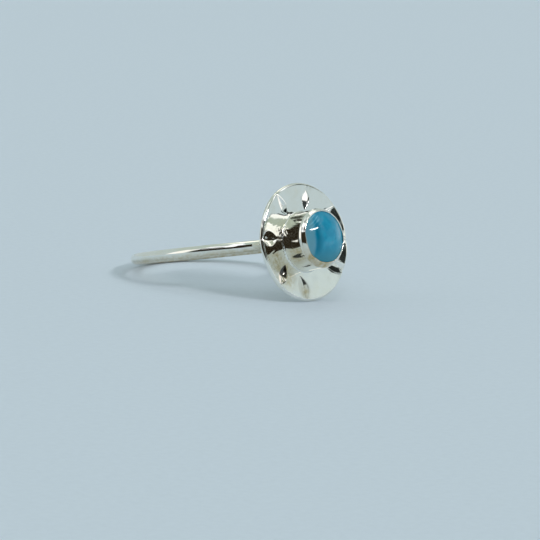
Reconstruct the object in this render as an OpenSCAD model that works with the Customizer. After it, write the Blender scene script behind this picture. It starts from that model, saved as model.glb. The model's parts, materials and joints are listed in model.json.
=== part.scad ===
// Cabochon ring: a round wire shank, a dished and stamped disc soldered across it,
// and a tall plain bezel cup with a round domed stone.
// It lies on its side as it rests by itself, on the disc's lower rim and the shank's far end.
// +Z is up, the stone faces -Y, and the origin is under the middle of the ring.

/* [Shank] */
// Diameter of the finger hole, measured on the narrow land inside the wire
finger_d = 18.5; // [15.7:0.1:21.3]
// Diameter of the round wire
wire_d = 1.15; // [1:0.05:2]
// Width of the land that shaping on a mandrel leaves inside the wire
land_w = 0.5; // [0.3:0.1:0.8]

/* [Disc] */
// Diameter of the dished disc
disc_d = 12; // [10:0.5:14]
// Thickness of its sheet, with a fully rounded edge
sheet_t = 0.5; // [0.4:0.05:0.8]
// Depth of the dish at the centre
dish_depth = 0.3; // [0.1:0.05:0.8]
// Lean of the disc away from square to the hoop, in degrees
head_lean = 2.4; // [0:0.2:6]
// How far its centre is soldered below the middle of the wire
head_drop = 0.1; // [0:0.05:0.3]

/* [Stamps] */
// Clock angles of the stamped leaves, in degrees, uneven as struck by hand
leaf_turns = [12, 50, 92, 127, 191, 229, 275, 328]; // [0:1:360]
// Distance from the disc's centre to a leaf's inner tip
leaf_in = 3.4; // [3.2:0.1:3.8]
// Distance from the disc's centre to its widest place, which is its deepest
leaf_mid = 4.3; // [4:0.1:4.6]
// Width of a leaf there
leaf_w = 1.15; // [0.6:0.05:1.5]
// Depth of a leaf there
leaf_depth = 0.22; // [0.1:0.02:0.3]
// Margin between a leaf's outer tip and the disc's edge
leaf_margin = 0.15; // [0.1:0.05:0.5]

/* [Bezel] */
// Outer diameter of the bezel cup
bezel_d = 6; // [5:0.2:6.4]
// Thickness of its wall
bezel_wall = 0.3; // [0.25:0.05:0.4]
// Height of its wall above the disc's centre, up to the outer corner
bezel_h = 2.65; // [2:0.05:3.2]
// Diameter of the opening in the burnished lip
opening_d = 5.1; // [4.2:0.1:5.2]
// Rise of the lip from the outer corner to the opening
lip_rise = 0.25; // [0.15:0.05:0.4]
// Height of the bearing ledge that the stone sits on
ledge_h = 0.9; // [0.5:0.1:1.2]
// Width of that ledge
ledge_w = 0.35; // [0.2:0.05:0.5]
// Size of the solder fillet round the bezel's foot
fillet = 0.3; // [0.15:0.05:0.4]

/* [Stone] */
// Height of the dome above the lip's inner edge
dome_rise = 0.85; // [0.6:0.05:1.1]
// Clearance between the stone and the metal
stone_gap = 0.04; // [0.03:0.01:0.06]

/* [Hidden] */
$fn = 96;

silver = [0.82, 0.83, 0.81];
sea_blue = [0.21, 0.54, 0.66];

// Shank: the land is cut on the inside of a torus
wire_r = wire_d / 2;
hoop_r = finger_d / 2 + sqrt(wire_r * wire_r - land_w * land_w / 4);

// The disc's back is sunk a little into the wire, where it is soldered
sunk = 0.1;
head_y = hoop_r + wire_r - sunk;
solder_r = 1.5;
solder_top_r = 0.8;
solder_h = 0.6;

// Dish: the front, middle and back are spheres about one centre
edge_r = sheet_t / 2;
edge_at = disc_d / 2 - edge_r;
dish_r = (edge_at * edge_at + dish_depth * dish_depth) / (2 * dish_depth);
dish_z = sheet_t + dish_r;
edge_z = dish_z - sqrt(pow(dish_r + edge_r, 2) - edge_at * edge_at);
edge_angle = asin(edge_at / (dish_r + edge_r));
dish_fn = 1440;

// Height of the disc's front face at a distance from its centre
function face_z(r) = dish_z - sqrt(dish_r * dish_r - r * r);

// Leaves
leaf_out = disc_d / 2 - leaf_margin;
cutter_reach = 2;

// Bezel and stone, in heights above the disc's back
foot = 0.1;
bezel_r = bezel_d / 2;
corner_z = sheet_t + bezel_h;
opening_r = opening_d / 2;
lip_t = 0.13;
ledge_z = sheet_t + ledge_h;
inner_r = bezel_r - bezel_wall;
stone_r = inner_r - stone_gap;
stone_z = ledge_z + stone_gap;
stone_bevel = 0.25;
dome_edge_z = corner_z + lip_rise - lip_t - stone_gap * 2;
dome_r = (opening_r * opening_r + dome_rise * dome_rise) / (2 * dome_rise);
dome_z = dome_edge_z + dome_rise - dome_r;

// Rest: the floor touches the far end of the wire and the lower edge of the disc.
// Each is a circle seen from the side, and tip is the slope of the line under both.
lower = [-head_y - edge_at * sin(head_lean) - edge_z * cos(head_lean),
         -edge_at * cos(head_lean) + edge_z * sin(head_lean) - head_drop];
span = [hoop_r, 0] - lower;
tip = atan2(span[1], span[0]) - asin((wire_r - edge_r) / norm(span));
lift = hoop_r * sin(tip) + wire_r;
back_y = hoop_r * cos(tip) + wire_r;
dome_y = -head_y - dome_z * cos(head_lean);
dome_up = dome_z * sin(head_lean) - head_drop;
front_y = dome_y * cos(tip) + dome_up * sin(tip) - dome_r;
middle_y = (front_y + back_y) / 2;

// Places the hoop's own frame, with its axis up, on the floor
module at_rest() {
    translate([0, -middle_y, lift]) rotate([-tip, 0, 0]) children();
}

// Places the head's own frame, with its axis out of the disc's face, on the hoop
module on_hoop() {
    translate([0, -head_y, -head_drop]) rotate([90 - head_lean, 0, 0]) children();
}

// Round wire hoop with a narrow cylindrical land inside
module shank() {
    difference() {
        rotate_extrude() translate([hoop_r, 0]) circle(r = wire_r);
        cylinder(d = finger_d, h = wire_d * 2, center = true);
    }
}

// Pool of solder between the wire and the back of the disc
module back_solder() {
    translate([0, 0, -solder_h]) cylinder(r1 = solder_top_r, r2 = solder_r, h = solder_h + sunk);
}

// Dished sheet with a round edge, before it is stamped
module blank() {
    reach = dish_r + sheet_t + 1;
    rotate_extrude() {
        intersection() {
            translate([0, dish_z]) difference() {
                circle(r = dish_r + sheet_t, $fn = dish_fn);
                circle(r = dish_r, $fn = dish_fn);
            }
            polygon([[0, dish_z], [0, dish_z - reach], [reach * tan(edge_angle), dish_z - reach]]);
        }
        translate([edge_at, edge_z]) circle(r = edge_r);
    }
}

// Four-sided dent with its point down: a leaf with a V-shaped hollow, pointed at both ends
module leaf_cutter() {
    low = [0, leaf_mid, face_z(leaf_mid) - leaf_depth];
    outline = [
        [0, leaf_in, face_z(leaf_in)],
        [leaf_w / 2, leaf_mid, face_z(leaf_mid)],
        [0, leaf_out, face_z(leaf_out)],
        [-leaf_w / 2, leaf_mid, face_z(leaf_mid)]];
    polyhedron(
        points = concat([low], [for (p = outline) low + cutter_reach * (p - low)]),
        faces = [[0, 1, 2], [0, 2, 3], [0, 3, 4], [0, 4, 1], [3, 2, 1], [4, 3, 1]]);
}

module disc() {
    difference() {
        blank();
        for (turn = leaf_turns) rotate(-turn) leaf_cutter();
    }
}

// Cup that holds the stone: wall, lip burnished inwards over it, and inner ledge under it
module bezel() {
    rotate_extrude() polygon([
        [bezel_r, sheet_t - foot],
        [bezel_r, corner_z],
        [opening_r, corner_z + lip_rise],
        [opening_r, corner_z + lip_rise - lip_t],
        [inner_r, corner_z + lip_rise - lip_t - (inner_r - opening_r)],
        [inner_r, ledge_z],
        [inner_r - ledge_w, ledge_z],
        [inner_r - ledge_w, sheet_t - foot]]);
}

// Solder fillet round the bezel's foot, hollow in section and sunk at its outer edge
module foot_solder() {
    foot_z = face_z(bezel_r);
    rotate_extrude() polygon([
        [bezel_r - foot, foot_z - foot],
        [bezel_r + fillet, foot_z - foot],
        [bezel_r + fillet, foot_z - foot / 4],
        [bezel_r + fillet / 3, foot_z + fillet / 3],
        [bezel_r, foot_z + fillet],
        [bezel_r - foot, foot_z + fillet]]);
}

// Shank, disc and bezel are soldered, so they are one solid
module silver_mount() {
    color(silver) at_rest() {
        shank();
        on_hoop() {
            back_solder();
            disc();
            bezel();
            foot_solder();
        }
    }
}

// Round stone with a flat back, straight side and low dome
module cabochon() {
    color(sea_blue) at_rest() on_hoop() rotate_extrude() intersection() {
        translate([0, dome_z]) circle(r = dome_r);
        polygon([
            [0, stone_z],
            [stone_r - stone_bevel, stone_z],
            [stone_r, stone_z + stone_bevel],
            [stone_r, dome_z + dome_r],
            [0, dome_z + dome_r]]);
    }
}

silver_mount();
cabochon();
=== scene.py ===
"""A cabochon ring that lies on its side: a hoop of round silver wire, a dished disc stamped with
leaves, a tall plain bezel with its lip burnished over, and a cloudy sea-blue stone.
Lengths are in millimetres until a mesh is made, angles are in degrees until a sine is taken."""
import json
import math
from collections import namedtuple

import bpy
import numpy as np
from mathutils import Matrix, Vector


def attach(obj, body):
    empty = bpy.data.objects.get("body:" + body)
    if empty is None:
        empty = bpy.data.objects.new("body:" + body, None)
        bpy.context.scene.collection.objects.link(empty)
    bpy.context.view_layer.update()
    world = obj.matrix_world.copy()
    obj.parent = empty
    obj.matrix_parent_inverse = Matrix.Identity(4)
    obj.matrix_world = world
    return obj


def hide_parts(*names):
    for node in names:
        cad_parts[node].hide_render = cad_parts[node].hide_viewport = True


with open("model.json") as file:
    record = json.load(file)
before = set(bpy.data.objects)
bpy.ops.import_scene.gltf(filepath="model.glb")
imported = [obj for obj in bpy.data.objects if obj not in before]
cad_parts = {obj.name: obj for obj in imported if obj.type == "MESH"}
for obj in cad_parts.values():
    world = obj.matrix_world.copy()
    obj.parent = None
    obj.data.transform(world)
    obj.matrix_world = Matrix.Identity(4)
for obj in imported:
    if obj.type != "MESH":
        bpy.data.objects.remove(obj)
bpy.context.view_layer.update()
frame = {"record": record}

MM = 0.001
# Keeps a division from meeting zero
TINY = 1e-6

# Sizes of the ring, as in the part's source
FINGER_D = 18.5
WIRE_R = 0.575
LAND_W = 0.5
DISC_R = 6.0
SHEET = 0.5
DISH = 0.3
HEAD_LEAN = 2.4
HEAD_DROP = 0.1
SUNK = 0.1
BEZEL_R = 3.0
BEZEL_WALL = 0.3
BEZEL_H = 2.65
FOOT = 0.1
LIP_RISE = 0.25
LIP_T = 0.13
LEDGE_H = 0.9
LEDGE_W = 0.35
STONE_GAP = 0.04
STONE_BEVEL = 0.25

# The disc's edge: its middle line, and how square its section is, 1 being a half circle
EDGE_R = SHEET / 2
EDGE_AT = DISC_R - EDGE_R
EDGE_POWER = 1.15
# Radius of the ring of points next to a pole, and where the disc's rows of points go over from the
# wide ones under the cup to the narrow ones that show
HUB_R = 0.4
WIDE_TO = 2.9
NARROW_FROM = 2.95

# How far the cup and the stone lean at their top, across and up
HEAD_SHIFT = (0.13, 0.12)
# The cup's wall is pressed in at half its height, and more in some places than in others. In each row
# of waves round a turn: their number, their size and their start
WALL_IN = 0.024
WALL_WAVES = ((3, 0.012, 1.0), (5, 0.012, 4.0))
# The filed bevel between the cup's wall and its lip: its width, its slope, the round above it, and the
# slope at which that round goes over into the lip
FILED_W = 0.2
FILED_SLOPE = 16
CORNER_ROUND = 0.06
CORNER_END = 58
# The lip: how far it is pressed down halfway, and unevenly
LIP_IN = 0.03
LIP_WAVES = ((4, 0.02, 0.9), (7, 0.014, 3.3), (11, 0.012, 5.0), (17, 0.008, 2.4))
# Its opening: the radius, how far its middle lies off the cup's and at which clock angle, its waves,
# and the radius of the round that its edge has
OPENING_R = 2.6
OPENING_OFF = 0.1
OPENING_TURN = 15
OPENING_WAVES = ((3, 0.02, 2.6), (5, 0.02, 0.4), (9, 0.012, 2.0), (14, 0.008, 1.1))
LIP_EDGE = 0.07
# Painted warm reflection on the cup's bevel and lip, standing in for a warm ground mirrored there:
# most at this clock angle, with its reach and its strength
WARM_REFLECTION_TURN = 207
WARM_REFLECTION_REACH = 38
WARM_REFLECTION_STRENGTH = 1.5

# The stone's dome: its rise from the opening's radius to the middle, and how high its top is above
# the cup's corner
DOME_RISE = 0.73
DOME_TOP = 0.88
# The stone's map is this wide. Its deep vein: where it crosses the middle, its slope, and how far it
# fades to its left and to its right
STONE_MAP = 6.0
VEIN_AT = -1.2
VEIN_SLOPE = 0.1
VEIN_LEFT = 0.3
VEIN_RIGHT = 0.8

# Solder round the cup's foot: its width and its waves, the height of its lumps and their waves, with
# their turn round the foot and up the section and their start, how far its face is let into its
# neighbours, how deep its hidden back lies in the wall and how high that reaches, and the lump that
# would hold the oxide in full
SOLDER_W = 0.24
SOLDER_WAVES = ((2, 0.03, 0.5), (3, 0.02, 2.2), (7, 0.012, 4.0))
LUMP_H = 0.010
LUMP_WAVES = ((37, 5, 0.3), (61, -3, 2.0), (-23, 6, 4.1), (83, 4, 1.0))
SOLDER_IN = 0.02
SOLDER_BACK = 0.1
SOLDER_BACK_H = 0.3
LUMP_BLACK = 0.05
# How rough the foot is: least, and most at this clock angle, with its reach
ROUGH_LEAST = 0.2
ROUGH_TURN = 275
ROUGH_REACH = 42

# Solder behind the disc: its heights, its radius at the wire, how far it spreads from there and by
# what power of the way down, how much longer it is along the wire, and its waves
POOL_FROM = -0.75
POOL_TO = 0.1
POOL_R = 0.35
POOL_SPREAD = 0.95
POOL_POWER = 2.5
POOL_LONGER = 0.25
POOL_WAVES = ((2, 0.03, 0.4), (3, 0.03, 1.0), (5, 0.02, 3.0))

# Leaves struck round the bezel, each a little different. In each row: the clock angle of the leaf's
# widest place, its lean away from the radius, how far its inner tip, its widest place and its
# outer tip lie from the disc's centre, its width, its depth, where its keel runs across it, from -1
# at the border that comes first clockwise to 1 at the other, how much the keel shifts across for
# each mm outwards, the share of the width that is flat, how long the leaf takes to run out to the
# face again, how far the oxide reaches from its inner tip, the side that holds it, -1 being the first
# one clockwise and 0 both, how high the metal arches up between it and the next leaf, and the power
# of that arch, 2 being a round one
COLUMNS = "turn lean inner widest outer width depth keel shift flat leave oxide side arch crest"
Leaf = namedtuple("Leaf", COLUMNS)
LEAVES = tuple(Leaf(*row) for row in (
    (11.6, 1, 3.30, 4.50, 5.25, 0.95, 0.095, 0.0, 0.0, 0.87, 1.10, 1.0, 0, 0.037, 2.0),
    (50.5, 20, 3.50, 4.60, 5.85, 0.25, 0.006, 0.0, 0.0, 0.0, 0.45, 0.0, 0, 0.112, 2.0),
    (92, 0, 3.40, 5.50, 5.90, 0.45, 0.06, 0.0, 0.0, 0.0, 0.30, 0.0, 0, 0.10, 2.0),
    (124.4, -21, 3.30, 4.90, 6.80, 1.12, 0.135, -0.6, 1.65, 0.0, 0.45, 0.0, 0, 0.062, 2.0),
    (192.3, -23, 3.42, 4.75, 5.92, 1.38, 0.09, -0.25, 0.25, 0.0, 1.10, 1.12, -1, 0.08, 2.0),
    (229, -19, 3.60, 4.85, 5.85, 1.15, 0.13, 0.0, 0.0, 0.0, 0.90, 1.40, 0, 0.15, 1.4),
    (277.2, -4, 3.70, 4.95, 5.85, 1.46, 0.11, -0.30, 0.0, 0.0, 0.45, 0.0, 0, 0.105, 2.0),
    (328, 2, 3.60, 4.35, 5.80, 0.85, 0.12, 0.0, 0.0, 0.0, 1.40, 0.45, 0, 0.07, 2.0)))
# How far a leaf takes to reach its full depth from its inner tip, the power of the sine by which its
# width grows, under 1 for blunt tips, and how near to a border the keel can come
LEAF_ENTRY = 0.85
LEAF_POINT = 0.9
KEEL_LIMIT = 0.88
# How softly a leaf's section turns into its flat and at its border, as squares of a share of its depth
FLAT_ROUND = 0.01
BORDER_ROUND = 0.002
# Burr along a leaf: its height, how far outside the border it is, and its width
BURR_H = 0.012
BURR_OUT = 0.07
BURR_W = 0.09
# Hair line that runs on from a leaf to the rim: its width, its depth, and how far it takes to begin
TAIL_W = 0.3
TAIL_DEPTH = 0.006
TAIL_ENTRY = 0.3
# How sharply the oxide ends outwards and at a leaf's borders
OXIDE_END = 8
OXIDE_BORDER = 6
# Inside this radius, the middle line of a leaf keeps its clock angle
LINE_FROM = 2.0
# Mean height of the arches between the leaves
ARCH_MEAN = 0.07

# Unevenness of the disc's face. In each row of waves: their turn for each mm across and up, and their
# start. Scuffs are strongest at this radius round the foot, within this reach
HAMMER_H = 0.002
HAMMER_WAVES = ((3.1, 1.2, 0.3), (-1.7, 3.4, 1.9), (4.6, -2.2, 4.0), (2.0, 5.2, 5.1))
SCUFF_H = 0.0012
SCUFF_WAVES = ((14, 5, 0.7), (-6, 17, 2.9), (9, -13, 4.4), (-19, -4, 1.2))
SCUFF_MOST = 2
FOOT_SCUFF_R = 3.3
FOOT_SCUFF_W = 0.22
# Scuffed patches of the disc, and patches tinted warm as a painted reflection of a warm ground
SCUFFED = (
    # across, up, half width, half height, strength
    (-4.3, -1.9, 1.1, 1.5, 2),
    (-3.6, 1.6, 0.6, 0.6, 1))
WARM_REFLECTION_PATCHES = (
    # across, up, half width, half height, strength
    (-4.2, -1.6, 1.3, 1.4, 1),
    (-2.9, -3.3, 1.0, 1.1, 1),
    (-0.8, -5.0, 0.5, 0.8, 1))

# The ring's own frame: the finger hole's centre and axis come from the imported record
hole = frame["record"]["mounts"][0]
LAND_R = math.sqrt(WIRE_R**2 - LAND_W**2 / 4)
HOOP_R = FINGER_D / 2 + LAND_R
HOOP_CENTRE = np.array(hole["pos_m"]) / MM
HOOP_AXIS = np.array(hole["axis"]) / np.linalg.norm(hole["axis"])
ACROSS = np.array([1.0, 0.0, 0.0])
HOOP_BACK = np.cross(HOOP_AXIS, ACROSS)


def rad(angle):
    return np.radians(angle)


# The head's frame: origin where the disc's back meets the wire, z out of the face, y up the disc
HEAD_OUT = math.sin(rad(HEAD_LEAN)) * HOOP_AXIS - math.cos(rad(HEAD_LEAN)) * HOOP_BACK
HEAD_UP = math.sin(rad(HEAD_LEAN)) * HOOP_BACK + math.cos(rad(HEAD_LEAN)) * HOOP_AXIS
HEAD_ORIGIN = HOOP_CENTRE - (HOOP_R + WIRE_R - SUNK) * HOOP_BACK - HEAD_DROP * HOOP_AXIS


def on_hoop(points):
    """Turns points of the hoop's frame, its axis along z, into points of the world."""
    return HOOP_CENTRE + points @ np.array([ACROSS, HOOP_BACK, HOOP_AXIS])


def on_head(points):
    """Turns points of the head's frame into points of the world."""
    return HEAD_ORIGIN + points @ np.array([ACROSS, HEAD_UP, HEAD_OUT])


def ring_points(radius, height, turn):
    """Points at a radius and a height, at clock angles counted from the top towards the right."""
    return np.stack(np.broadcast_arrays(radius * np.sin(turn), radius * np.cos(turn), height), -1)


def full_turn(count):
    """Evenly spaced clock angles, a whole turn without its end, as one row."""
    return np.linspace(0, 2 * np.pi, count, endpoint=False)[None, :]


def waver(turn, waves):
    """Sum of sine waves round a turn: each has its number of lobes, its size and its start."""
    return sum(size * np.sin(lobes * turn + start) for lobes, size, start in waves)


def ripple(x, y, waves, size):
    """Sum of sine waves that cross: each has its turn for each step both ways and its start."""
    return sum(size * np.sin(a * x + b * y + start) for a, b, start in waves)


def bell(away, reach):
    """Bell curve: 1 in the middle, and about a third at its reach."""
    return np.exp(-(away / reach)**2)


def skin(name, grid, closed=False, poles=None):
    """Makes a mesh over a grid of points in rows and columns. The columns run round a closed ring.
    The rows close into a tube if closed is set; poles are the points that shut the first and last
    row."""
    rows, columns = grid.shape[:2]
    index = np.arange(rows * columns).reshape(rows, columns)
    low = index if closed else index[:-1]
    high = np.roll(index, -1, 0) if closed else index[1:]
    quads = np.stack([low, np.roll(low, -1, 1), np.roll(high, -1, 1), high], -1).reshape(-1, 4)
    points = [grid.reshape(-1, 3)]
    fans = np.empty((0, 3), int)
    if poles is not None:
        points.append(poles)
        first, last = rows * columns, rows * columns + 1
        top, end = index[0], index[-1]
        fans = np.concatenate([
            np.stack([np.full(columns, first), np.roll(top, -1), top], -1),
            np.stack([np.full(columns, last), end, np.roll(end, -1)], -1)])
    points = np.concatenate(points) * MM
    corners = np.concatenate([quads.ravel(), fans.ravel()])
    sides = np.concatenate([np.full(len(quads), 4), np.full(len(fans), 3)])
    mesh = bpy.data.meshes.new(name)
    mesh.vertices.add(len(points))
    mesh.vertices.foreach_set("co", points.astype(np.float32).ravel())
    mesh.loops.add(len(corners))
    mesh.loops.foreach_set("vertex_index", corners.astype(np.int32))
    mesh.polygons.add(len(sides))
    mesh.polygons.foreach_set("loop_start", (np.cumsum(sides) - sides).astype(np.int32))
    mesh.polygons.foreach_set("use_smooth", np.ones(len(sides), bool))
    mesh.update(calc_edges=True)
    piece = bpy.data.objects.new(name, mesh)
    bpy.context.scene.collection.objects.link(piece)
    return piece


def mark(piece, name, shares):
    """Stores a share for each vertex, which the piece's material reads by that name. Poles, which
    come last in the mesh, get none."""
    layer = piece.data.attributes.new(name, "FLOAT", "POINT")
    poles = np.zeros(len(piece.data.vertices) - shares.size)
    layer.data.foreach_set("value", np.append(shares.ravel(), poles).astype(np.float32))


def fits(piece, node, material):
    """The piece stands for a node of the frame, rides with it and takes its finish."""
    piece.data.materials.append(material)
    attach(piece, "root")
    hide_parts(node)


# Shapes

def leaf_line(leaf, radius):
    """Clock angle of a leaf's middle line at a radius: a straight line that leaves the radius
    through the widest place by the angle of lean."""
    aside = 1 - leaf.widest / np.maximum(radius, LINE_FROM)
    return rad(leaf.turn) + math.tan(rad(leaf.lean)) * aside


def petals(radius, turn):
    """Arch of the metal between the leaves: nothing on each middle line and most halfway between two,
    as one less a power of the distance from the middle, so that it creases at the leaves."""
    lines = [leaf_line(leaf, radius) for leaf in LEAVES]
    bow = np.zeros(np.broadcast_shapes(radius.shape, turn.shape))
    for leaf, here, following in zip(LEAVES, lines, lines[1:] + [lines[0] + 2 * np.pi]):
        part = ((turn - here) % (2 * np.pi)) / (following - here)
        bow = np.where(part < 1, leaf.arch * (1 - np.abs(2 * part - 1)**leaf.crest), bow)
    return bow


def across_leaf(x, y, leaf):
    """Distance along a leaf, counted as on the radius, and distance aside of its middle line."""
    line = rad(leaf.turn + leaf.lean)
    off_x = x - leaf.widest * math.sin(rad(leaf.turn))
    off_y = y - leaf.widest * math.cos(rad(leaf.turn))
    return (leaf.widest + off_x * math.sin(line) + off_y * math.cos(line),
            off_x * math.cos(line) - off_y * math.sin(line))


def struck(radius, turn):
    """Depth that the leaves take out of the disc's face, and the share of oxide left in them.
    Each leaf is a V across its keel, or a trough if it has a flat. Its width rises as a sine from the
    inner tip to the widest place and falls as a sine to the outer tip, to a power under 1. Its depth
    rises as a sine from the inner tip and runs out evenly. A low burr, a bell curve, runs outside
    its border, and a hair line, a bell curve too, runs on to the rim."""
    depth = np.zeros(np.broadcast_shapes(radius.shape, turn.shape))
    oxide = depth.copy()
    x, y = radius * np.sin(turn), radius * np.cos(turn)
    for leaf in LEAVES:
        along, aside = across_leaf(x, y, leaf)
        grow = np.clip((along - leaf.inner) / (leaf.widest - leaf.inner), 0, 1)
        shrink = np.clip((leaf.outer - along) / (leaf.outer - leaf.widest), 0, 1)
        full = np.sin(np.minimum(grow, shrink) * np.pi / 2)**LEAF_POINT
        half = np.maximum(leaf.width / 2 * full, TINY)
        entry = np.sin(np.clip((along - leaf.inner) / LEAF_ENTRY, 0, 1) * np.pi / 2)
        deep = leaf.depth * np.minimum(entry, np.clip((leaf.outer - along) / leaf.leave, 0, 1))
        keel = np.clip(leaf.keel + leaf.shift * (along - leaf.widest), -KEEL_LIMIT, KEEL_LIMIT)
        off_keel = aside / half - keel
        inside = 1 - np.where(off_keel > 0, off_keel / (1 - keel), -off_keel / (1 + keel))
        steep = inside / (1 - leaf.flat)
        trough = (1 + steep - np.sqrt((1 - steep)**2 + FLAT_ROUND)) / 2
        section = (np.sqrt(trough**2 + BORDER_ROUND) + trough) / 2
        burr = BURR_H * full * bell(np.abs(aside) - half - BURR_OUT, BURR_W)
        begun = np.clip((along - leaf.widest) / TAIL_ENTRY, 0, 1)
        tail = TAIL_DEPTH * bell(2 * aside, TAIL_W) * begun
        depth += np.where(full > 0, deep * section - burr, 0) + tail
        reach = np.clip(OXIDE_END * (1 - (along - leaf.inner) / max(leaf.oxide, TINY)), 0, 1)
        held = np.where(off_keel * leaf.side < 0, 0, reach) * (full > 0)
        oxide = np.maximum(oxide, np.clip(OXIDE_BORDER * inside, 0, 1) * held)
    return depth, oxide


def left_of_foot(turn):
    """How rough the foot is: a bell curve round its left, with a fifth left elsewhere."""
    return ROUGH_LEAST + (1 - ROUGH_LEAST) * bell(turn - rad(ROUGH_TURN), rad(ROUGH_REACH))


def patches(x, y, rows):
    """Sum of patches at a point, each a bell curve both ways times its strength."""
    return sum(strength * bell(x - across, wide) * bell(y - up, high)
               for across, up, wide, high, strength in rows)


def planished(radius, turn):
    """Slight unevenness left by the hammer, in waves 1 to 2 mm long, and finer scuffs, 0.3 to 0.5 mm
    long, round the bezel's foot and in the scuffed patches, where each fades as a bell curve."""
    x, y = radius * np.sin(turn), radius * np.cos(turn)
    by_foot = SCUFF_MOST * left_of_foot(turn) * bell(radius - FOOT_SCUFF_R, FOOT_SCUFF_W)
    share = np.minimum(by_foot + patches(x, y, SCUFFED), SCUFF_MOST)
    return ripple(x, y, HAMMER_WAVES, HAMMER_H) + share * ripple(x, y, SCUFF_WAVES, SCUFF_H)


def rim_lift(radius, turn):
    """Height that the arches between the leaves add: nothing at the centre, most at the rim. It is
    set so low that the disc's rim stays at its height on the whole."""
    return (radius / EDGE_AT)**2 * (petals(radius, turn) - ARCH_MEAN)


def bowl(radius, turn):
    """Height of the disc's back: a shallow bowl, as the square of the radius, bowed between the
    leaves."""
    return DISH * (radius / EDGE_AT)**2 + rim_lift(radius, turn)


def face_height(radius, turn):
    """Height of the disc's face: the bowl a sheet's thickness up, uneven, less the leaves."""
    return SHEET + bowl(radius, turn) + planished(radius, turn) - struck(radius, turn)[0]


def make_disc():
    """The face runs out from its centre, a rounded edge closes it, and the back runs in again. The
    edge is a superellipse: each coordinate is a signed power of the circle's. Its upper side sinks
    with a leaf that runs out over it."""
    turn = full_turn(768)
    slope = math.atan(2 * DISH / EDGE_AT)
    face_r = np.concatenate([
        np.linspace(HUB_R, WIDE_TO, 4), np.linspace(NARROW_FROM, EDGE_AT, 92)])[:, None]
    face = ring_points(face_r, face_height(face_r, turn), turn)
    bend = np.linspace(np.pi / 2, -np.pi / 2, 15)[1:-1, None]
    out = EDGE_R * np.abs(np.cos(bend))**EDGE_POWER
    up = EDGE_R * np.sign(np.sin(bend)) * np.abs(np.sin(bend))**EDGE_POWER
    lift = rim_lift(np.array([[EDGE_AT]]), turn)
    notch = struck(np.array([[EDGE_AT]]), turn)[0] * (1 + np.sin(bend)) / 2
    edge_r = EDGE_AT + out * math.cos(slope) - up * math.sin(slope)
    edge_z = EDGE_R + DISH + lift - notch + up * math.cos(slope) + out * math.sin(slope)
    back_r = np.linspace(EDGE_AT, HUB_R, 14)[:, None]
    grid = np.concatenate([
        face, ring_points(edge_r, edge_z, turn), ring_points(back_r, bowl(back_r, turn), turn)])
    poles = on_head(np.array([[0, 0, SHEET], [0, 0, 0.0]]))
    disc = skin("disc", on_head(grid), poles=poles)
    oxide = np.zeros(grid.shape[:2])
    oxide[:len(face_r)] = struck(face_r, turn)[1]
    mark(disc, "oxide", oxide)
    # Painted reflection: warm patches on the lower left of the face, standing in for a warm ground
    # mirrored there
    painted_warm_reflection = np.zeros(grid.shape[:2])
    painted_warm_reflection[:len(face_r)] = patches(face[..., 0], face[..., 1], WARM_REFLECTION_PATCHES)
    mark(disc, "painted_warm_reflection", painted_warm_reflection)
    return disc


def make_shank():
    """Round wire carried round a circle. A straight chord of the section is the worn land inside, and
    the underside is tinted warm as a painted reflection of a warm ground below."""
    turn = full_turn(400)
    section = np.linspace(0, 2 * np.pi, 40, endpoint=False)[:, None]
    inwards = np.maximum(-np.cos(section), TINY)
    reach = np.minimum(WIRE_R, LAND_R / inwards)
    radius = HOOP_R + reach * np.cos(section)
    height = reach * np.sin(section)
    shank = skin("shank", on_hoop(ring_points(radius, height, turn)), closed=True)
    # Painted reflection: the underside of the wire tinted warm, as if it mirrored a warm ground
    mark(shank, "painted_warm_reflection", np.clip(-np.sin(section), 0, 1) * np.ones_like(turn))
    return shank


def leant(points):
    """Shears points of the head sideways, evenly with their height above the disc's face."""
    share = (points[..., 2:] - SHEET) / (BEZEL_H + LIP_RISE)
    return points + share * np.array([*HEAD_SHIFT, 0.0])


def dome_height(radius):
    """Height of the stone's dome, which is part of a sphere, at a distance from its axis."""
    dome_r = (OPENING_R**2 + DOME_RISE**2) / (2 * DOME_RISE)
    return SHEET + BEZEL_H + DOME_TOP - dome_r + np.sqrt(dome_r**2 - radius**2)


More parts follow.
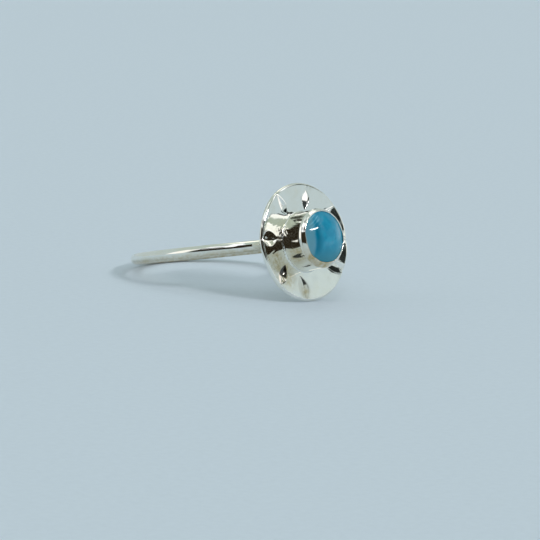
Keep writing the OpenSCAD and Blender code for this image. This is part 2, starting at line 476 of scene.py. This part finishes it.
def make_bezel():
    """A closed outline carried round the head's axis: foot, wall, filed bevel, rounded corner, lip,
    ledge. The wall is pressed in as a half sine wave from its foot to the bevel, and the lip as the
    square of one from the corner to the opening. The opening is a circle a little off the middle
    with a few waves, as pushed over by hand. Its edge is a quarter round that comes down to the
    stone wherever the opening meets it."""
    turn = full_turn(512)
    inner_r = BEZEL_R - BEZEL_WALL
    foot_z = SHEET - FOOT
    corner_z = SHEET + BEZEL_H

    filed_sin, filed_cos = math.sin(rad(FILED_SLOPE)), math.cos(rad(FILED_SLOPE))
    filed_z = corner_z - CORNER_ROUND - FILED_W * filed_cos
    wall_z = np.linspace(foot_z, filed_z, 60)[:, None]
    share = (wall_z - foot_z) / (filed_z - foot_z)
    dent = waver(turn, WALL_WAVES) - WALL_IN
    wall = ring_points(BEZEL_R + dent * np.sin(np.pi * share), wall_z, turn)
    up_filed = FILED_W * np.linspace(0.1, 1, 9)[:, None]
    filed = ring_points(BEZEL_R - up_filed * filed_sin, filed_z + up_filed * filed_cos, turn)

    bend = np.linspace(rad(FILED_SLOPE), rad(CORNER_END), 6)[1:, None]
    corner_r = BEZEL_R - FILED_W * filed_sin - CORNER_ROUND * (np.cos(bend[0]) - np.cos(bend))
    corner_up = corner_z - CORNER_ROUND + CORNER_ROUND * (np.sin(bend) - filed_sin)
    corner = ring_points(corner_r, corner_up, turn)

    off_turn = turn - rad(OPENING_TURN)
    chord = np.sqrt(OPENING_R**2 - (OPENING_OFF * np.sin(off_turn))**2)
    opening = OPENING_OFF * np.cos(off_turn) + chord + waver(turn, OPENING_WAVES)
    opening = np.minimum(opening, inner_r - 2 * STONE_GAP)
    edge_z = dome_height(opening) + STONE_GAP + LIP_EDGE
    step = np.linspace(0, 1, 14)[1:, None]
    lip_r = corner_r[-1] + (opening + LIP_EDGE - corner_r[-1]) * step
    pressed = (waver(turn, LIP_WAVES) + LIP_IN) * np.sin(step * np.pi)**2
    lip_z = corner_up[-1] + (edge_z - corner_up[-1]) * np.sin(step * np.pi / 2) - pressed
    lip = ring_points(lip_r, lip_z, turn)
    roll = np.linspace(0, np.pi / 2, 7)[1:, None]
    roll_r = opening + LIP_EDGE * (1 - np.sin(roll))
    edge = ring_points(roll_r, edge_z - LIP_EDGE * (1 - np.cos(roll)), turn)

    inner = np.array([
        [inner_r, corner_z + LIP_RISE - LIP_T - (inner_r - OPENING_R)],
        [inner_r, SHEET + LEDGE_H],
        [inner_r - LEDGE_W, SHEET + LEDGE_H],
        [inner_r - LEDGE_W, foot_z]])
    inside = ring_points(inner[:, :1], inner[:, 1:], turn)
    grid = np.concatenate([wall, filed, corner, lip, edge, inside])
    bezel = skin("bezel", on_head(leant(grid)), closed=True)
    # Painted reflection: the bevel and lip tinted warm round their lower left, as if they mirrored a
    # warm ground
    painted_warm_reflection = np.zeros(grid.shape[:2])
    round_cup = WARM_REFLECTION_STRENGTH * bell(turn - rad(WARM_REFLECTION_TURN), rad(WARM_REFLECTION_REACH))
    painted_warm_reflection[len(wall):-len(inner)] = np.minimum(round_cup, 1)
    mark(bezel, "painted_warm_reflection", painted_warm_reflection)
    return bezel


def make_foot_solder():
    """A hollow fillet between the bezel's wall and the disc's face, a quarter circle in section whose
    width wavers round the foot. Its face is lumpy, as crossing sine waves that are strongest on the
    left, and the pits hold a little oxide."""
    turn = full_turn(720)
    width = SOLDER_W + waver(turn, SOLDER_WAVES)
    bend = np.linspace(0, np.pi / 2, 16)[:, None]
    lumps = left_of_foot(turn) * ripple(turn, bend, LUMP_WAVES, LUMP_H)
    full = width + lumps * np.sin(2 * bend)
    radius = BEZEL_R - SOLDER_IN + width - full * np.sin(bend)
    height = SHEET + bowl(radius, turn) - SOLDER_IN + full * (1 - np.cos(bend))
    hidden_z = np.array([[SHEET + SOLDER_BACK_H], [SHEET - SOLDER_BACK]])
    hidden = ring_points(BEZEL_R - SOLDER_BACK, hidden_z, turn)
    grid = np.concatenate([ring_points(radius, height, turn), hidden])
    solder = skin("foot_solder", on_head(grid), closed=True)
    oxide = np.zeros(grid.shape[:2])
    oxide[:len(bend)] = np.clip(lumps / LUMP_BLACK, 0, 0.5)
    mark(solder, "oxide", oxide)
    return solder


def make_back_solder():
    """The pool that joins wire and disc: a hollow skirt that spreads from the wire to the disc's
    back, by a power of the way down, wide along the wire and narrow across it."""
    turn = full_turn(160)
    down = np.linspace(0, 1, 24)[:, None]
    spread = POOL_R + POOL_SPREAD * down**POOL_POWER
    wide = spread * (1 + POOL_LONGER * np.sin(turn)**2) + waver(turn, POOL_WAVES) * down
    rows = ring_points(wide, POOL_FROM + (POOL_TO - POOL_FROM) * down, turn)
    poles = on_head(np.array([[0, 0, POOL_TO], [0, 0, POOL_FROM]]))
    return skin("back_solder", on_head(rows)[::-1], poles=poles)


def make_stone():
    """A dome that is part of a sphere, a straight side, and a flat back with a small bevel. Its map
    is its plan, seen from above the dome."""
    turn = full_turn(256)
    stone_r = BEZEL_R - BEZEL_WALL - STONE_GAP
    base_z = SHEET + LEDGE_H + STONE_GAP
    dome_r = stone_r * np.sin(np.linspace(0, np.pi / 2, 56))[1:, None]
    side_r = np.array([[stone_r], [stone_r - STONE_BEVEL], [HUB_R]])
    side_z = np.array([[base_z + STONE_BEVEL], [base_z], [base_z]])
    grid = np.concatenate([
        ring_points(dome_r, dome_height(dome_r), turn), ring_points(side_r, side_z, turn)])
    tips = np.array([[0, 0, dome_height(0.0)], [0, 0, base_z]])
    stone = skin("stone", on_head(leant(grid)), poles=on_head(leant(tips)))
    plan = 0.5 + np.concatenate([grid.reshape(-1, 3), tips])[:, :2] / STONE_MAP
    corner = np.empty(len(stone.data.loops), np.int32)
    stone.data.loops.foreach_get("vertex_index", corner)
    layer = stone.data.uv_layers.new(name="on_stone")
    layer.data.foreach_set("uv", plan[corner].astype(np.float32).ravel())
    return stone


# Materials

def linear(hex_colour):
    """Turns an sRGB hex colour into the linear colour that Blender's sockets take."""
    parts = np.array([int(hex_colour[i:i + 2], 16) for i in (1, 3, 5)]) / 255
    return (*np.where(parts <= 0.04045, parts / 12.92, ((parts + 0.055) / 1.055)**2.4), 1.0)


def add(tree, kind, inputs=None, **settings):
    """Adds a node: settings are its properties, inputs maps a socket to a value or another socket."""
    node = tree.nodes.new(kind)
    for name, value in settings.items():
        setattr(node, name, value)
    for socket, value in (inputs or {}).items():
        if isinstance(value, bpy.types.NodeSocket):
            tree.links.new(value, node.inputs[socket])
        else:
            node.inputs[socket].default_value = value
    return node


def new_material(name):
    material = bpy.data.materials.new(name)
    material.use_nodes = True
    material.node_tree.nodes.clear()
    return material, material.node_tree


def in_mm(tree, turn=(0, 0, 0), longer=(1, 1, 1)):
    """Position on the object in millimetres, for a pattern that is turned and drawn out longer. A
    noise on it with a scale of 1 has blotches about 1 mm wide."""
    place = add(tree, "ShaderNodeTexCoord")
    return add(tree, "ShaderNodeMapping", {
        "Vector": place.outputs["Object"],
        "Rotation": tuple(rad(v) for v in turn),
        "Scale": tuple(v * MM for v in longer)}, vector_type="TEXTURE").outputs["Vector"]


def polished_silver():
    """Sterling silver, buffed by hand: a near mirror with a faint warm tarnish, soft wiping marks that
    change its gloss, hair-fine scratches in two directions, and stamped marks that hold some oxide.
    Where a piece marks it, a warm tint is painted on as a reflection of a warm ground."""
    material, tree = new_material("sterling_silver_hand_buffed")
    # Faint tarnish all over, in clouds about 2 mm wide
    cloudy = add(tree, "ShaderNodeTexNoise", {
        "Vector": in_mm(tree), "Scale": 0.45, "Detail": 4.0, "Roughness": 0.6})
    tarnish = add(tree, "ShaderNodeMapRange", {
        "Value": cloudy.outputs["Fac"],
        "From Min": 0.45, "From Max": 0.75, "To Min": 0.0, "To Max": 0.5})
    fresh = add(tree, "ShaderNodeMix", {
        "Factor": tarnish.outputs["Result"],
        "A": linear("#f6f5ee"), "B": linear("#ebe5d0")}, data_type="RGBA")
    # Painted reflection: a warm tint where a piece marks it, standing in for a warm ground mirrored in
    # the metal, broken into specks about 0.6 mm wide
    painted_warm_reflection = add(tree, "ShaderNodeAttribute", attribute_name="painted_warm_reflection")
    specks = add(tree, "ShaderNodeTexNoise", {
        "Vector": in_mm(tree), "Scale": 1.6, "Detail": 4.0, "Roughness": 0.65})
    spread = add(tree, "ShaderNodeMapRange", {
        "Value": specks.outputs["Fac"], "From Min": 0.35, "From Max": 0.65, "To Min": 0.3})
    patchy = add(tree, "ShaderNodeMath", {
        0: painted_warm_reflection.outputs["Fac"], 1: spread.outputs["Result"]}, operation="MULTIPLY")
    with_warm_reflection = add(tree, "ShaderNodeMix", {
        "Factor": patchy.outputs["Value"],
        "A": fresh.outputs["Result"], "B": linear("#c4b083")}, data_type="RGBA")
    # Oxide left in the stamps, which lets a little of the metal through
    black = add(tree, "ShaderNodeAttribute", attribute_name="oxide")
    left = add(tree, "ShaderNodeMath", {0: black.outputs["Fac"], 1: 0.93}, operation="MULTIPLY")
    colour = add(tree, "ShaderNodeMix", {
        "Factor": left.outputs["Value"],
        "A": with_warm_reflection.outputs["Result"], "B": linear("#1b1d1c")}, data_type="RGBA")
    # Wiping marks, about 0.8 mm wide and 2.5 mm long
    wiped = add(tree, "ShaderNodeTexNoise", {
        "Vector": in_mm(tree, (20, 0, 35), (1, 3, 1)),
        "Scale": 1.2, "Detail": 3.0, "Roughness": 0.55})
    gloss = add(tree, "ShaderNodeMapRange", {
        "Value": wiped.outputs["Fac"],
        "From Min": 0.3, "From Max": 0.7, "To Min": 0.035, "To Max": 0.1})
    # Scratches, 0.2 mm apart and 3 mm long, which is coarser than real ones, so that they show
    scratches = None
    for turn in ((0, 0, 25), (0, 50, -40)):
        hairs = add(tree, "ShaderNodeTexNoise", {
            "Vector": in_mm(tree, turn, (1, 16, 1)), "Scale": 5.0, "Detail": 2.0, "Roughness": 0.5})
        bump = {"Height": hairs.outputs["Fac"], "Strength": 1.0, "Distance": 0.0006 * MM}
        if scratches:
            bump["Normal"] = scratches.outputs["Normal"]
        scratches = add(tree, "ShaderNodeBump", bump)
    shader = add(tree, "ShaderNodeBsdfPrincipled", {
        "Base Color": colour.outputs["Result"], "Metallic": 1.0,
        "Roughness": gloss.outputs["Result"], "Normal": scratches.outputs["Normal"]})
    add(tree, "ShaderNodeOutputMaterial", {"Surface": shader.outputs["BSDF"]})
    return material


def sea_stone():
    """Blue pectolite, polished: cloudy bands of sea blue that drift from milky to deep, with one deep
    vein left of the middle, a paler grey blue beyond it that is a painted reflection of the bright
    room, a paler grey blue far to the right that is painted light, greyer low down, and milky streaks
    at the upper left, under a wet gloss."""
    material, tree = new_material("blue_pectolite_polished")
    # The stone's map in millimetres from its middle, and the same pushed about by clouds 1.4 mm wide
    laid = add(tree, "ShaderNodeUVMap", uv_map="on_stone")
    place = add(tree, "ShaderNodeMapping", {
        "Vector": laid.outputs["UV"], "Location": (-STONE_MAP / 2, -STONE_MAP / 2, 0),
        "Scale": (STONE_MAP, STONE_MAP, 1)}).outputs["Vector"]
    drift = add(tree, "ShaderNodeTexNoise", {
        "Vector": place, "Scale": 0.7, "Detail": 3.0, "Roughness": 0.5})
    pushed = add(tree, "ShaderNodeVectorMath", {
        0: drift.outputs["Color"], 1: (0.3, 0.2, 0), 2: place}, operation="MULTIPLY_ADD")
    part = add(tree, "ShaderNodeSeparateXYZ", {"Vector": pushed.outputs["Vector"]})
    up = part.outputs["Y"]
    across = add(tree, "ShaderNodeMath", {
        0: up, 1: -VEIN_SLOPE, 2: part.outputs["X"]}, operation="MULTIPLY_ADD").outputs["Value"]
    # Clouds about 1.1 mm wide, and streaks 0.2 mm wide and 2.5 mm long
    clouds = add(tree, "ShaderNodeTexNoise", {
        "Vector": place, "Scale": 0.9, "Detail": 5.0, "Roughness": 0.55}).outputs["Fac"]
    drawn_out = add(tree, "ShaderNodeMapping", {
        "Vector": place, "Rotation": (0, 0, rad(34)), "Scale": (2.5, 0.2, 1)}, vector_type="TEXTURE")
    streaks = add(tree, "ShaderNodeTexNoise", {
        "Vector": drawn_out.outputs["Vector"],
        "Scale": 1.0, "Detail": 3.0, "Roughness": 0.6}).outputs["Fac"]
    # Washes laid over the base colour one after another. Each has its strength, its colour, and the
    # ramps whose product says where it is: a value, and where in it the wash starts and is full
    washes = (
        (0.7, "#34a3c2", ((clouds, 0.38, 0.66),)),
        # Painted light: the right edge paler, as if lit more
        (0.5, "#3d95af", ((across, 1.0, 2.3),)),
        (0.85, "#3c889c", ((up, -0.4, -2.3),)),
        # Painted reflection: the left edge paler grey blue, as if it mirrored the bright room
        (0.9, "#6aa2b5", ((across, -1.3, -1.65),)),
        (0.6, "#86d3e6", ((up, 0.6, 1.8), (across, -0.5, -1.0), (streaks, 0.48, 0.6))),
        (1.0, "#007796", (
            (across, VEIN_AT - VEIN_LEFT, VEIN_AT), (across, VEIN_AT + VEIN_RIGHT, VEIN_AT),
            (up, 2.2, 1.0), (up, -2.0, -0.9))))
    colour = linear("#2690b2")
    for amount, tint, ramps in washes:
        for value, low, high in ramps:
            ramp = add(tree, "ShaderNodeMapRange", {
                "Value": value, "From Min": low, "From Max": high},
                interpolation_type="SMOOTHSTEP")
            amount = add(tree, "ShaderNodeMath", {
                0: amount, 1: ramp.outputs["Result"]}, operation="MULTIPLY").outputs["Value"]
        colour = add(tree, "ShaderNodeMix", {
            "Factor": amount, "A": colour, "B": linear(tint)}, data_type="RGBA").outputs["Result"]
    shader = add(tree, "ShaderNodeBsdfPrincipled", {
        "Base Color": colour, "Roughness": 0.05, "IOR": 1.5, "Specular IOR Level": 0.3})
    add(tree, "ShaderNodeOutputMaterial", {"Surface": shader.outputs["BSDF"]})
    return material


def pale_floor():
    """Matt paper: an even pale blue grey with the faint tooth of its fibres, drawn 0.7 mm wide, which
    is coarser than a real one, so that it shows."""
    material, tree = new_material("matt_paper")
    tooth = add(tree, "ShaderNodeTexNoise", {"Vector": in_mm(tree), "Scale": 1.5, "Detail": 3.0})
    colour = add(tree, "ShaderNodeMix", {
        "Factor": tooth.outputs["Fac"],
        "A": linear("#d1dde8"), "B": linear("#d8e4ef")}, data_type="RGBA")
    shader = add(tree, "ShaderNodeBsdfPrincipled", {
        "Base Color": colour.outputs["Result"], "Roughness": 0.9})
    add(tree, "ShaderNodeOutputMaterial", {"Surface": shader.outputs["BSDF"]})
    return material


silver = polished_silver()
for made in (make_disc(), make_shank(), make_bezel(), make_foot_solder(), make_back_solder()):
    fits(made, "silver_mount", silver)
fits(make_stone(), "cabochon", sea_stone())

# Stage
FLOOR_HALF = 900.0
corners = FLOOR_HALF * MM * np.array([[-1, -1, 0], [1, -1, 0], [1, 1, 0], [-1, 1, 0]])
floor_mesh = bpy.data.meshes.new("floor")
floor_mesh.from_pydata(corners.tolist(), [], [(0, 1, 2, 3)])
floor = bpy.data.objects.new("floor", floor_mesh)
bpy.context.scene.collection.objects.link(floor)
floor_mesh.materials.append(pale_floor())

# Studio: a soft room of plain panels round the ring. In each row: the azimuth and elevation of the
# panel's middle and its half width and half height, in degrees with 0 at the front and 90 to the
# right; its colour, its strength, and the width of its soft edge
PANELS = (
    # azimuth, elevation, half_w, half_h, colour, strength, soft
    (45, 16, 17, 12, "#c0d0d6", 1.0, 4),
    (-60, 16, 34, 28, "#2e2a22", 1.0, 4),
    (48, 23, 16, 5, "#cbdadc", 1.0, 3),
    (-68, 48.4, 37, 13.6, "#f3f8ff", 1.3, 1.5),
    (-75, 74, 38, 12, "#f3f8ff", 1.6, 4),
    (-80, 43, 20, 5, "#2e2a22", 1.0, 2),
    (-29.5, 29.5, 13.5, 21.5, "#2e2a22", 1.0, 2),
    (-10, 45, 7, 9, "#2e2a22", 1.0, 2),
    (-88, 69, 20, 7, "#a9b3b3", 1.0, 3),
    (-112, 22, 13, 20, "#ffffff", 1.1, 4),
    (4.5, 28, 14.5, 13, "#2b2c28", 1.0, 3),
    (49, 48, 13, 17, "#f3f8ff", 1.3, 2),
    (22, 50, 10, 5, "#3b403a", 1.0, 3),
    (34.5, 17, 3.2, 6.5, "#232827", 1.0, 1),
    (37.5, 20.5, 3.2, 4.5, "#232827", 1.0, 1),
    (61, 32, 17, 8.3, "#232827", 1.0, 1),
    (11, 37.5, 13, 1.2, "#ffffff", 60.0, 0.6),
    (138, 65, 20, 13, "#fffff6", 1.5, 6),
    (45, 2, 15, 3, "#ffffff", 1.25, 1),
    (35.5, 5.5, 5, 2, "#ffffff", 1.25, 0.7),
    (88, 6, 14, 7, "#ffffff", 1.1, 3))
# The room behind the panels, from the floor up to this elevation, and the plain backdrop
ROOM_LOW = "#bcc9cc"
ROOM_HIGH = "#b3c2ba"
ROOM_TOP = 80
BACKDROP = "#b9c8ce"


def make_studio():
    """The panels are laid over a pale room one after another, each where both angles of a direction
    are inside it. Seen directly, the room is a plain backdrop."""
    world = bpy.data.worlds.new("studio")
    bpy.context.scene.world = world
    world.use_nodes = True
    tree = world.node_tree
    tree.nodes.clear()
    place = add(tree, "ShaderNodeTexCoord")
    part = add(tree, "ShaderNodeSeparateXYZ", {"Vector": place.outputs["Generated"]})
    front = add(tree, "ShaderNodeMath", {0: part.outputs["Y"], 1: -1.0}, operation="MULTIPLY")
    azimuth = add(tree, "ShaderNodeMath", {
        0: part.outputs["X"], 1: front.outputs["Value"]}, operation="ARCTAN2")
    elevation = add(tree, "ShaderNodeMath", {0: part.outputs["Z"]}, operation="ARCSINE")
    room = add(tree, "ShaderNodeMapRange", {
        "Value": elevation.outputs["Value"], "From Min": 0.0, "From Max": rad(ROOM_TOP)})
    light = add(tree, "ShaderNodeMix", {
        "Factor": room.outputs["Result"],
        "A": linear(ROOM_LOW), "B": linear(ROOM_HIGH)}, data_type="RGBA")
    for turn, rise, half_w, half_h, colour, strength, soft in PANELS:
        masks = []
        for angle, middle, half in ((azimuth, turn, half_w), (elevation, rise, half_h)):
            away = add(tree, "ShaderNodeMath", {
                0: angle.outputs["Value"], 1: rad(middle)}, operation="SUBTRACT")
            wrapped = add(tree, "ShaderNodeMath", {
                0: away.outputs["Value"], 1: math.pi, 2: -math.pi}, operation="WRAP")
            size = add(tree, "ShaderNodeMath", {0: wrapped.outputs["Value"]}, operation="ABSOLUTE")
            masks.append(add(tree, "ShaderNodeMapRange", {
                "Value": size.outputs["Value"],
                "From Min": rad(half + soft), "From Max": rad(half - soft)},
                interpolation_type="SMOOTHSTEP"))
        inside = add(tree, "ShaderNodeMath", {
            0: masks[0].outputs["Result"], 1: masks[1].outputs["Result"]}, operation="MULTIPLY")
        shade = tuple(strength * v for v in linear(colour)[:3]) + (1.0,)
        light = add(tree, "ShaderNodeMix", {
            "Factor": inside.outputs["Value"],
            "A": light.outputs["Result"], "B": shade}, data_type="RGBA")
    seen = add(tree, "ShaderNodeLightPath")
    shown = add(tree, "ShaderNodeMix", {
        "Factor": seen.outputs["Is Camera Ray"],
        "A": light.outputs["Result"], "B": linear(BACKDROP)}, data_type="RGBA")
    sky = add(tree, "ShaderNodeBackground", {"Color": shown.outputs["Result"], "Strength": 1.0})
    add(tree, "ShaderNodeOutputWorld", {"Surface": sky.outputs["Background"]})


make_studio()
bpy.context.scene.view_settings.view_transform = "Standard"

# Camera: the photograph's angle to the ring, measured from the hoop's plane and the disc's facing,
# its distance, its lens and its frame, and the pixel where the middle of the disc's rim falls
EYE_TURN = -43.2
EYE_LIFT = -0.84
EYE_ROLL = 5.7
EYE_DISTANCE = 300.0
SENSOR = 36
LENS_PX = 2910.0
FRAME_PX = 540
DISC_PX = (305.6, 241.7)


def make_camera():
    """Looks at the ring from the photograph's direction, and turns until the middle of the disc's
    rim falls on its pixel of the photograph."""
    turn, lift, roll = rad(EYE_TURN), rad(EYE_LIFT), rad(EYE_ROLL)
    axes = np.array([ACROSS, HOOP_BACK, HOOP_AXIS])
    level = math.cos(lift)
    towards = np.array([math.sin(turn) * level, -math.cos(turn) * level, math.sin(lift)]) @ axes
    right = np.array([math.cos(turn), math.sin(turn), 0]) @ axes
    up = np.cross(towards, right)
    eye = HOOP_CENTRE + EYE_DISTANCE * towards
    rim_centre = on_head(np.array([0, 0, SHEET + DISH]))
    back = Vector(eye - rim_centre).normalized()
    picture_up = Vector(math.sin(roll) * right + math.cos(roll) * up)
    picture_right = picture_up.cross(back).normalized()
    picture_up = back.cross(picture_right)
    straight = Matrix((picture_right, picture_up, back)).transposed()
    sight = Vector((DISC_PX[0] - FRAME_PX / 2, FRAME_PX / 2 - DISC_PX[1], -LENS_PX)).normalized()
    aim = sight.rotation_difference(Vector((0, 0, -1))).to_matrix()
    camera = bpy.data.objects.new("camera", bpy.data.cameras.new("camera"))
    camera.matrix_world = Matrix.Translation(Vector(eye) * MM) @ (straight @ aim).to_4x4()
    camera.data.sensor_width = SENSOR
    camera.data.lens = SENSOR * LENS_PX / FRAME_PX
    camera.data.clip_start = 0.01
    camera.data.clip_end = 20
    bpy.context.scene.collection.objects.link(camera)
    bpy.context.scene.camera = camera


make_camera()
